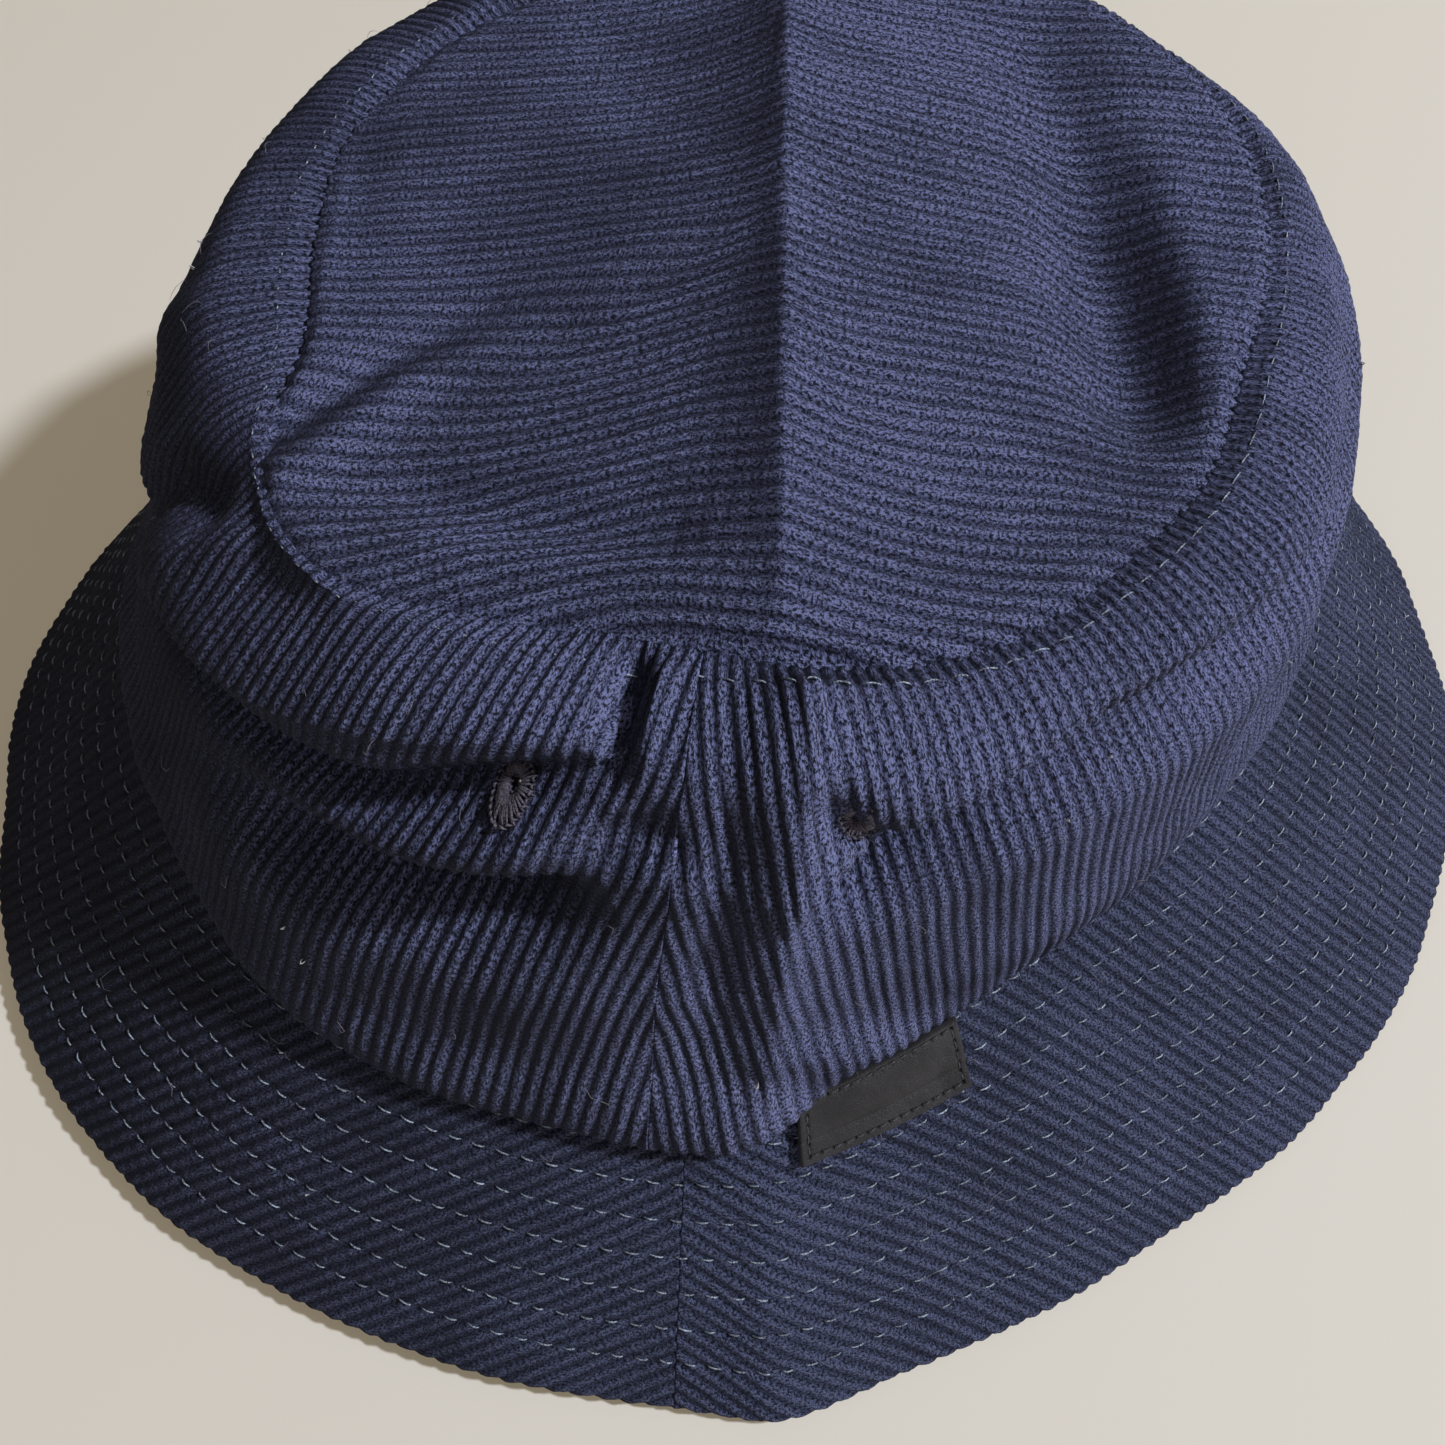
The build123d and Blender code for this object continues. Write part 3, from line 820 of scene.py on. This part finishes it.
def ring_sheet(name, azimuth, part, depth, thickness):
    """Thin piece that follows the inside of the wall over some azimuths and parts of its climb."""
    points = band_points(azimuth, part)
    normals = grid_normals(points)
    face, back = points - normals * depth, points - normals * (depth + thickness)
    across = np.radians(azimuth)[:, None] * lining_radius + 0 * part[None, :]
    along = part[None, :] * wall_climb + 0 * across
    return closed_sheet(name, face, back, np.stack([across, along], axis=-1))


def make_lining_tip(name, depth, thickness):
    """Lining under the crown tip."""
    slant = np.linspace(-math.pi / 2, math.pi / 2, 140)[:, None] * 0.97
    across = np.linspace(-1, 1, 120)[None, :]
    unit_x, unit_y = np.cos(slant) * across * 0.965, np.sin(slant) * 0.965 + 0 * across
    points = tip_points(unit_x, unit_y)
    normals = upward_normals(points)
    uv = np.stack([unit_y * tip_radius, unit_x * tip_radius], axis=-1)
    face, back = points - normals * depth, points - normals * (depth + thickness)
    return closed_sheet(name, face[:, ::-1], back[:, ::-1], uv[:, ::-1])


def make_interlining(name, middle):
    """Stiff layer between the two cloths of half of the brim."""
    azimuth = half_azimuths(brim_seams, middle, 400)[3:-3]
    part = np.linspace(0.8, brim_slant - 3.2, 44) / brim_slant
    points, normals = brim_points(azimuth, part)
    reach = base_radius / brim_sector + part[None, :] * brim_slant
    uv = np.stack(flat_places(azimuth, middle, brim_sector, reach), axis=-1)
    top = cloth_thickness + wale_relief + 0.04
    return closed_sheet(name, points - normals * top, points - normals * (brim_thickness - top), uv)


# ---------------------------------------------------------------- materials


class Nodes:
    """A new material, and short ways to add and link its shader nodes."""

    def __init__(self, name):
        self.material = bpy.data.materials.new(name)
        self.material.use_nodes = True
        self.tree = self.material.node_tree
        self.shader = self.tree.nodes["Principled BSDF"]

    def put(self, socket, value):
        """Links a socket to a node's output, or sets its value."""
        if isinstance(value, bpy.types.NodeSocket):
            self.tree.links.new(value, socket)
        else:
            socket.default_value = value

    def add(self, kind, inputs, output=0, **settings):
        """Adds a node with these settings and inputs, and gives one of its outputs."""
        node = self.tree.nodes.new("ShaderNode" + kind)
        for name, value in settings.items():
            setattr(node, name, value)
        for socket, value in inputs.items():
            self.put(node.inputs[socket], value)
        return node.outputs[output]

    def math(self, operation, first, second=0.0, clamp=False):
        return self.add("Math", {0: first, 1: second}, operation=operation, use_clamp=clamp)

    def times(self, first, second, clamp=False):
        return self.math("MULTIPLY", first, second, clamp)

    def noise(self, place, scale, detail=2.0, roughness=0.5):
        return self.add("TexNoise", {"Vector": place, "Scale": scale, "Detail": detail, "Roughness": roughness})

    def span(self, value, low, high, to_low=0.0, to_high=1.0):
        return self.add("MapRange", {"Value": value, "From Min": low, "From Max": high,
                                     "To Min": to_low, "To Max": to_high})

    def mix(self, part, first, second):
        return self.add("Mix", {0: part, 6: first, 7: second}, output=2, data_type="RGBA")

    def stretch(self, place, scale):
        return self.add("Mapping", {"Vector": place, "Scale": scale})

    def bump(self, height, distance, strength=1.0):
        return self.add("Bump", {"Height": height, "Distance": distance, "Strength": strength})

    def cloth_place(self):
        """Place on the flat cloth in millimetres: across the cords, along them."""
        return self.add("UVMap", {}, uv_map="cloth")

    def object_place(self):
        """Place in the shared frame, in metres."""
        return self.add("TexCoord", {}, output="Object")

    def facing(self, low, high, dark, light):
        """Painted light and shade: from dark to light, as the cloth faces more towards the side of the painted light.
        """
        normal = self.add("NewGeometry", {}, output="Normal")
        turned = self.add("VectorMath", {0: normal, 1: painted_light_side}, output="Value", operation="DOT_PRODUCT")
        return self.span(turned, low, high, dark, light)

    def finish(self, colour, normal, **constants):
        """Links the shader's colour and normal, sets its constant sockets and gives the material."""
        self.put(self.shader.inputs["Base Color"], colour)
        self.put(self.shader.inputs["Normal"], normal)
        for name, value in constants.items():
            self.shader.inputs[constant_sockets[name]].default_value = value
        return self.material


constant_sockets = {"roughness": "Roughness", "gloss": "Specular IOR Level", "sheen": "Sheen Weight",
                    "sheen_roughness": "Sheen Roughness", "sheen_tint": "Sheen Tint"}


def corduroy_material(name, crest_colour):
    """Navy corduroy: painted shade in its valleys, dark flecks between tufts, painted light and glints to one side.
    """
    nodes = Nodes(name)
    cloth = nodes.cloth_place()
    place = nodes.object_place()
    turn = nodes.times(nodes.add("SeparateXYZ", {0: cloth}), TAU / wale_pitch)
    crest = nodes.span(nodes.math("COSINE", turn), -1.0, 1.0)
    tufts = nodes.noise(nodes.stretch(cloth, (2.3, 1.5, 1)), 1.2, 3.0, 0.75)
    fibres = nodes.noise(nodes.stretch(cloth, (4.2, 2.2, 1)), 1.5, 2.0, 0.7)
    streaks = nodes.noise(nodes.stretch(cloth, (0.42, 0.05, 1)), 1.0, 2.0, 0.5)
    patches = nodes.noise(place, 34.0, 3.0, 0.55)
    # Lighter on the cord crests, darker in the valleys: painted shade in the grooves.
    pile = nodes.span(crest, 0.0, 0.8, 0.40, 1.0)
    pile = nodes.times(pile, nodes.span(tufts, 0.45, 0.57, 0.04, 1.25))
    pile = nodes.times(pile, nodes.span(streaks, 0.3, 0.7, 0.75, 1.25))
    pile = nodes.times(pile, nodes.span(patches, 0.32, 0.68, 0.65, 1.35))
    # Painted light and shade: darker where the cloth turns away from the side of the painted light.
    pile = nodes.times(pile, nodes.facing(0.15, 0.82, 0.12, 1.0), clamp=True)
    # Dark colour: painted shade of the valleys and of the side turned from the painted light, and the dark flecks.
    colour = nodes.mix(pile, (0.0045, 0.0050, 0.011, 1), crest_colour)
    # Painted glints: a bright colour on the fibres of the cord crests, stronger where the cloth faces the side of the
    # painted light.
    painted_glints = nodes.times(nodes.span(fibres, 0.55, 0.68), nodes.math("POWER", crest, 3.0))
    painted_glints = nodes.times(painted_glints, nodes.facing(0.1, 0.85, 0.10, 0.85), clamp=True)
    colour = nodes.mix(painted_glints, colour, (0.36, 0.40, 0.60, 1))
    height = nodes.math("ADD", nodes.times(tufts, 0.8), nodes.times(fibres, 0.5))
    return nodes.finish(colour, nodes.bump(height, 0.0011), roughness=0.95, gloss=0.15, sheen=0.09,
                        sheen_roughness=0.45, sheen_tint=(0.55, 0.62, 1.0, 1))


weave_relief = 0.00012


def thread_material(name, colour, bright, turned=False):
    """Twisted thread: fine slanted plies, a soft gleam and slight fading from stitch to stitch."""
    nodes = Nodes(name)
    place = nodes.object_place()
    plies = nodes.noise(place, 4200.0, 2.0, 0.6)
    fading = nodes.noise(place, 260.0, 2.0, 0.5)
    share = nodes.span(plies, 0.35, 0.65)
    share = nodes.times(share, nodes.span(fading, 0.3, 0.7, 0.45, 1.2), clamp=True)
    # Painted light and shade: the thread's colour is lighter where it faces the side of the painted light and darker
    # away from it.
    if turned:
        share = nodes.times(share, nodes.facing(0.1, 0.75, 0.0, 1.0), clamp=True)
    return nodes.finish(nodes.mix(share, colour, bright), nodes.bump(plies, 0.0001, 0.8),
                        roughness=0.55, gloss=0.35, sheen=0.05)


def woven_material(name, dark, light, pitch, twill=0.0, gleam=0.3):
    """Plain or twill weave from crossing waves over the flat cloth."""
    nodes = Nodes(name)
    cloth = nodes.cloth_place()
    across, along = [nodes.add("SeparateXYZ", {0: cloth}, output=axis) for axis in (0, 1)]
    warp = nodes.math("SINE", nodes.times(across, TAU / pitch))
    slanted = nodes.math("ADD", along, nodes.times(across, twill))
    weft = nodes.math("SINE", nodes.times(slanted, TAU / pitch))
    crossing = nodes.math("ADD", nodes.times(warp, 0.5), weft)
    uneven = nodes.noise(nodes.stretch(cloth, (0.6, 0.6, 1)), 1.0, 4.0, 0.6)
    share = nodes.span(crossing, -1.5, 1.5)
    share = nodes.times(share, nodes.span(uneven, 0.3, 0.7, 0.6, 1.3), clamp=True)
    return nodes.finish(nodes.mix(share, dark, light), nodes.bump(crossing, weave_relief, 0.7),
                        roughness=0.8, gloss=gleam, sheen=0.15)


def felt_material(name):
    """Bonded fibre interlining: pale, with short tangled fibres."""
    nodes = Nodes(name)
    cloth = nodes.cloth_place()
    tangle = nodes.noise(nodes.stretch(cloth, (2.0, 0.7, 1)), 1.6, 5.0, 0.7)
    colour = nodes.mix(nodes.span(tangle, 0.35, 0.65), (0.42, 0.41, 0.38, 1), (0.66, 0.65, 0.61, 1))
    return nodes.finish(colour, nodes.bump(tangle, 0.0002, 0.6), roughness=0.9)


def leather_material(name):
    """Dark dyed leather: pebbled grain, worn paler edge, dull gleam."""
    nodes = Nodes(name)
    cloth = nodes.cloth_place()
    place = nodes.object_place()
    cells = nodes.add("TexVoronoi", {"Vector": cloth, "Scale": 2.3}, output="Distance", feature="DISTANCE_TO_EDGE")
    grain = nodes.span(cells, 0.0, 0.18)
    pores = nodes.noise(cloth, 5.0, 4.0, 0.7)
    cloud = nodes.noise(place, 160.0, 3.0, 0.6)
    colour = nodes.mix(nodes.span(cloud, 0.35, 0.65), (0.026, 0.025, 0.029, 1), (0.047, 0.045, 0.050, 1))
    colour = nodes.mix(nodes.times(nodes.span(pores, 0.55, 0.75), 0.6), colour, (0.014, 0.013, 0.016, 1))
    worn = nodes.add("NewGeometry", {}, output="Pointiness")
    colour = nodes.mix(nodes.span(worn, 0.52, 0.60), colour, (0.085, 0.075, 0.070, 1))
    nodes.put(nodes.shader.inputs["Roughness"], nodes.span(pores, 0.3, 0.7, 0.46, 0.66))
    height = nodes.math("ADD", nodes.times(grain, 0.7), nodes.times(pores, 0.6))
    return nodes.finish(colour, nodes.bump(height, 0.00012, 0.6), gloss=0.35)


def finish_piece(piece, node, material):
    """Hides the piece's CAD part, if it has one, and gives the piece its body and its material."""
    if node:
        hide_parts(node)
    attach(piece, "root")
    piece.data.materials.append(material)


corduroy = corduroy_material("corduroy", (0.33, 0.37, 0.74, 1))
# The brim's copy of the corduroy: the same cloth with crests about half as bright, painted shade on the brim.
shaded_brim_corduroy = corduroy_material("corduroy_brim_painted_shade", (0.165, 0.195, 0.38, 1))
for half, middle in (("front", 0), ("rear", 180)):
    finish_piece(make_side_panel(f"panel_{half}", middle), f"side_panel_{half}", corduroy)
    finish_piece(make_brim_panel(f"brim_upper_{half}", middle), f"brim_top_{half}", shaded_brim_corduroy)
    finish_piece(make_brim_panel(f"brim_lower_{half}", middle, under=True), f"brim_under_{half}",
                 shaded_brim_corduroy)
finish_piece(make_tip("tip"), "crown_tip", corduroy)

# The brim thread, also used for the tip and sweatband rows, has painted light and shade by which way it faces.
brim_thread = thread_material("brim_thread", (0.008, 0.010, 0.022, 1), (0.66, 0.78, 1.0, 1), turned=True)
eyelet_thread = thread_material("eyelet_thread", (0.022, 0.020, 0.034, 1), (0.22, 0.20, 0.27, 1))
label_thread = thread_material("label_thread", (0.03, 0.03, 0.035, 1), (0.12, 0.12, 0.13, 1))
lining_cloth = woven_material("lining_cloth", (0.012, 0.014, 0.03, 1), (0.035, 0.04, 0.085, 1), 0.45)
sweatband_twill = woven_material("sweatband_twill", (0.010, 0.011, 0.022, 1), (0.032, 0.035, 0.07, 1), 0.8,
                                 twill=1.0)
care_satin = woven_material("care_satin", (0.50, 0.50, 0.49, 1), (0.72, 0.72, 0.70, 1), 0.3, gleam=0.5)
felt = felt_material("felt")
leather = leather_material("leather")

top_rows = joined([stitches(*row_on_brim(row), 2.4, 1.3, 0.15, bed=0.03, tilt=0.12, seed=row, wobble=0.10)
                   for row in range(row_count)])
under_rows = joined([stitches(*row_on_brim(row, under=True), 2.4, 1.25, 0.17, tilt=0.10, seed=row + 20, wobble=0.08)
                     for row in range(row_count)])
finish_piece(mesh_object("stitches_brim", *top_rows), "brim_rows_top", brim_thread)
finish_piece(mesh_object("stitches_brim_under", *under_rows), "brim_rows_under", brim_thread)
tip_row = stitches(*row_on_band(1 - 2.6 / wall_climb), 2.4, 1.1, 0.13, bed=-0.28, tilt=0.08, seed=41, wobble=0.15)
finish_piece(mesh_object("stitches_tip", *tip_row), "tip_topstitching", brim_thread)

for place, (middle, level) in eyelet_places.items():
    eyelet = make_eyelet(f"eyelet_{place}", middle, level, len(place))
    finish_piece(eyelet, f"vent_eyelet_{place}", eyelet_thread)
lint = thread_material("lint", (0.16, 0.16, 0.24, 1), (0.42, 0.40, 0.48, 1))
finish_piece(make_lint("lint_hairs", 150, 5.0, 0.035, 81), None, lint)
fleck = thread_material("fleck", (0.35, 0.35, 0.38, 1), (0.75, 0.74, 0.76, 1))
finish_piece(make_lint("lint_flecks", 44, 0.8, 0.13, 82), None, fleck)
finish_piece(make_label("label"), "leather_label", leather)
finish_piece(make_label_stitches("stitches_label"), "label_stitching", label_thread)

lining_depth, lining_thick = 1.55, 0.35
band_depth, band_thick, band_width = 2.1, 0.9, 32.0
lining_parts = np.linspace(0.015, 0.975, 66)
for half, middle in (("front", 0), ("rear", 180)):
    azimuth = half_azimuths(band_seams, middle, 260)
    finish_piece(ring_sheet(f"lining_{half}", azimuth, lining_parts, lining_depth, lining_thick),
                 f"lining_side_{half}", lining_cloth)
    finish_piece(make_interlining(f"interlining_{half}", middle), f"brim_interlining_{half}", felt)
finish_piece(make_lining_tip("lining_crown", lining_depth + 0.1, lining_thick), "lining_tip", lining_cloth)
round_azimuths = np.linspace(-178.9, 180.9, 520)
band_parts = np.linspace(0.02, wall_part(base_height + band_width), 40)
sweat_band = ring_sheet("sweat_band", round_azimuths, band_parts, band_depth, band_thick)
finish_piece(sweat_band, "sweatband", sweatband_twill)
inner_path, inner_normals = row_on_band(wall_part(base_height + 3), band_depth + band_thick)
finish_piece(mesh_object("stitches_sweatband", *stitches(inner_path, -inner_normals, 2.6, 1.0, 0.17, seed=51)),
             "sweatband_stitching", brim_thread)
care_azimuths = np.linspace(180 - 5.6, 180 + 5.6, 30)
care_parts = np.linspace(wall_part(base_height + 4), wall_part(base_height + 28), 40)
care_tag = ring_sheet("care_tag", care_azimuths, care_parts, band_depth + band_thick + 0.12, 0.22)
finish_piece(care_tag, "care_label", care_satin)

# ---------------------------------------------------------------- floor, light and camera

floor_half = 3000
floor_corners = [(x * floor_half, y * floor_half, 0) for x, y in ((-1, -1), (1, -1), (1, 1), (-1, 1))]
floor_mesh = mesh_object("floor", floor_corners, [(0, 1, 2, 3)])
floor = Nodes("floor")
for socket, value in (("Base Color", (0.74, 0.73, 0.71, 1)), ("Roughness", 0.85),
                      ("Emission Color", (1.0, 0.80, 0.50, 1)), ("Emission Strength", 0.15)):
    floor.shader.inputs[socket].default_value = value
floor_mesh.data.materials.append(floor.material)


def area_light(name, place, size, power, colour):
    """Round soft light at a place in metres, turned to the hat."""
    data = bpy.data.lights.new(name, "AREA")
    data.shape = "DISK"
    data.size = size
    data.energy = power
    data.color = colour
    light = bpy.data.objects.new(name, data)
    bpy.context.collection.objects.link(light)
    light.location = place
    light.rotation_euler = (hat_middle - Vector(place)).to_track_quat("-Z", "Y").to_euler()


hat_middle = Vector((0, 0, 0.05))
area_light("key", (1.36, -0.216, 1.71), 0.16, 34, (0.95, 0.97, 1.0))
area_light("fill", (-0.35, -1.2, 1.0), 1.0, 1.3, (0.92, 0.95, 1.0))
world = bpy.data.worlds.new("world")
bpy.context.scene.world = world
world.use_nodes = True
world.node_tree.nodes["Background"].inputs[0].default_value = (1.0, 0.86, 0.68, 1)
world.node_tree.nodes["Background"].inputs[1].default_value = 0.12

camera_place = Vector((10.5, -169.0, 267.2)) * MM
camera_pitch = math.radians(58.5)
camera_yaw = math.radians(-4.17)
camera_roll = math.radians(-0.51)
view = Vector((math.sin(camera_yaw) * math.cos(camera_pitch), math.cos(camera_yaw) * math.cos(camera_pitch),
               -math.sin(camera_pitch)))
camera_data = bpy.data.cameras.new("camera")
camera_data.lens = 40.26
camera_data.sensor_width = 36
camera_data.clip_start = 0.01
camera = bpy.data.objects.new("camera", camera_data)
bpy.context.collection.objects.link(camera)
camera.matrix_world = (Matrix.Translation(camera_place) @ view.to_track_quat("-Z", "Y").to_matrix().to_4x4()
                       @ Matrix.Rotation(camera_roll, 4, "Z"))
bpy.context.scene.camera = camera
bpy.context.scene.view_settings.view_transform = "Standard"
